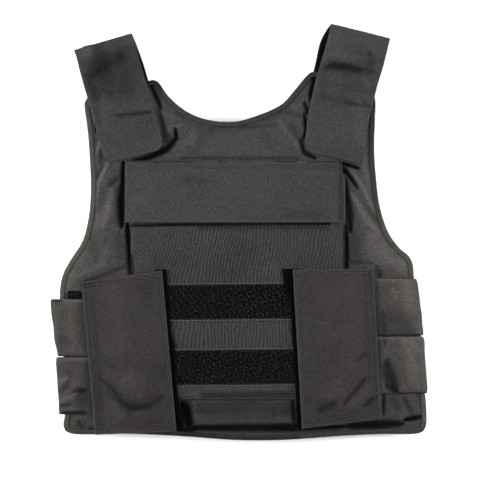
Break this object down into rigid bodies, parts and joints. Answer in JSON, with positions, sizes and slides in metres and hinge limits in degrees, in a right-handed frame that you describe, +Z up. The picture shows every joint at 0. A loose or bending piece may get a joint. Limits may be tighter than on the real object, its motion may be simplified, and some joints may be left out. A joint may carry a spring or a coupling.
{
  "type": "bulletproof vest",
  "caption": "Soft body-armour vest lying on its back, with padded front and back panels, plate pocket, folded shoulder straps and elastic side closures.",
  "frame": {"origin": "on the surface that the vest lies on, under the middle of its bounding box", "axes": "+X to the right of someone looking at the vest's front, +Y from the hem to the neck, +Z up from the surface, out of the front"},
  "size_m": [0.5343, 0.5894, 0.0705],
  "materials": {
    "nylon": "black woven nylon, slightly faded",
    "lining": "black knitted mesh lining",
    "binding": "flat woven edge tape, dark grey-green",
    "elastic": "wide ribbed elastic webbing, dark grey",
    "loop_tape": "black looped pile tape"
  },
  "bodies": {
    "root": {"front_panel": "nylon", "back_panel": "lining", "front_binding": "binding", "back_binding": "binding", "plate_pocket": "nylon", "id_flap": "nylon", "loop_strip_upper": "loop_tape", "loop_strip_lower": "loop_tape", "side_loop_left": "loop_tape", "side_loop_right": "loop_tape", "side_flap_left": "nylon", "side_flap_right": "nylon", "side_band_left_upper": "elastic", "side_band_left_lower": "elastic", "side_band_right_upper": "elastic", "side_band_right_lower": "elastic", "shoulder_strap_left": "nylon", "shoulder_strap_right": "nylon"}
  },
  "joints": []
}
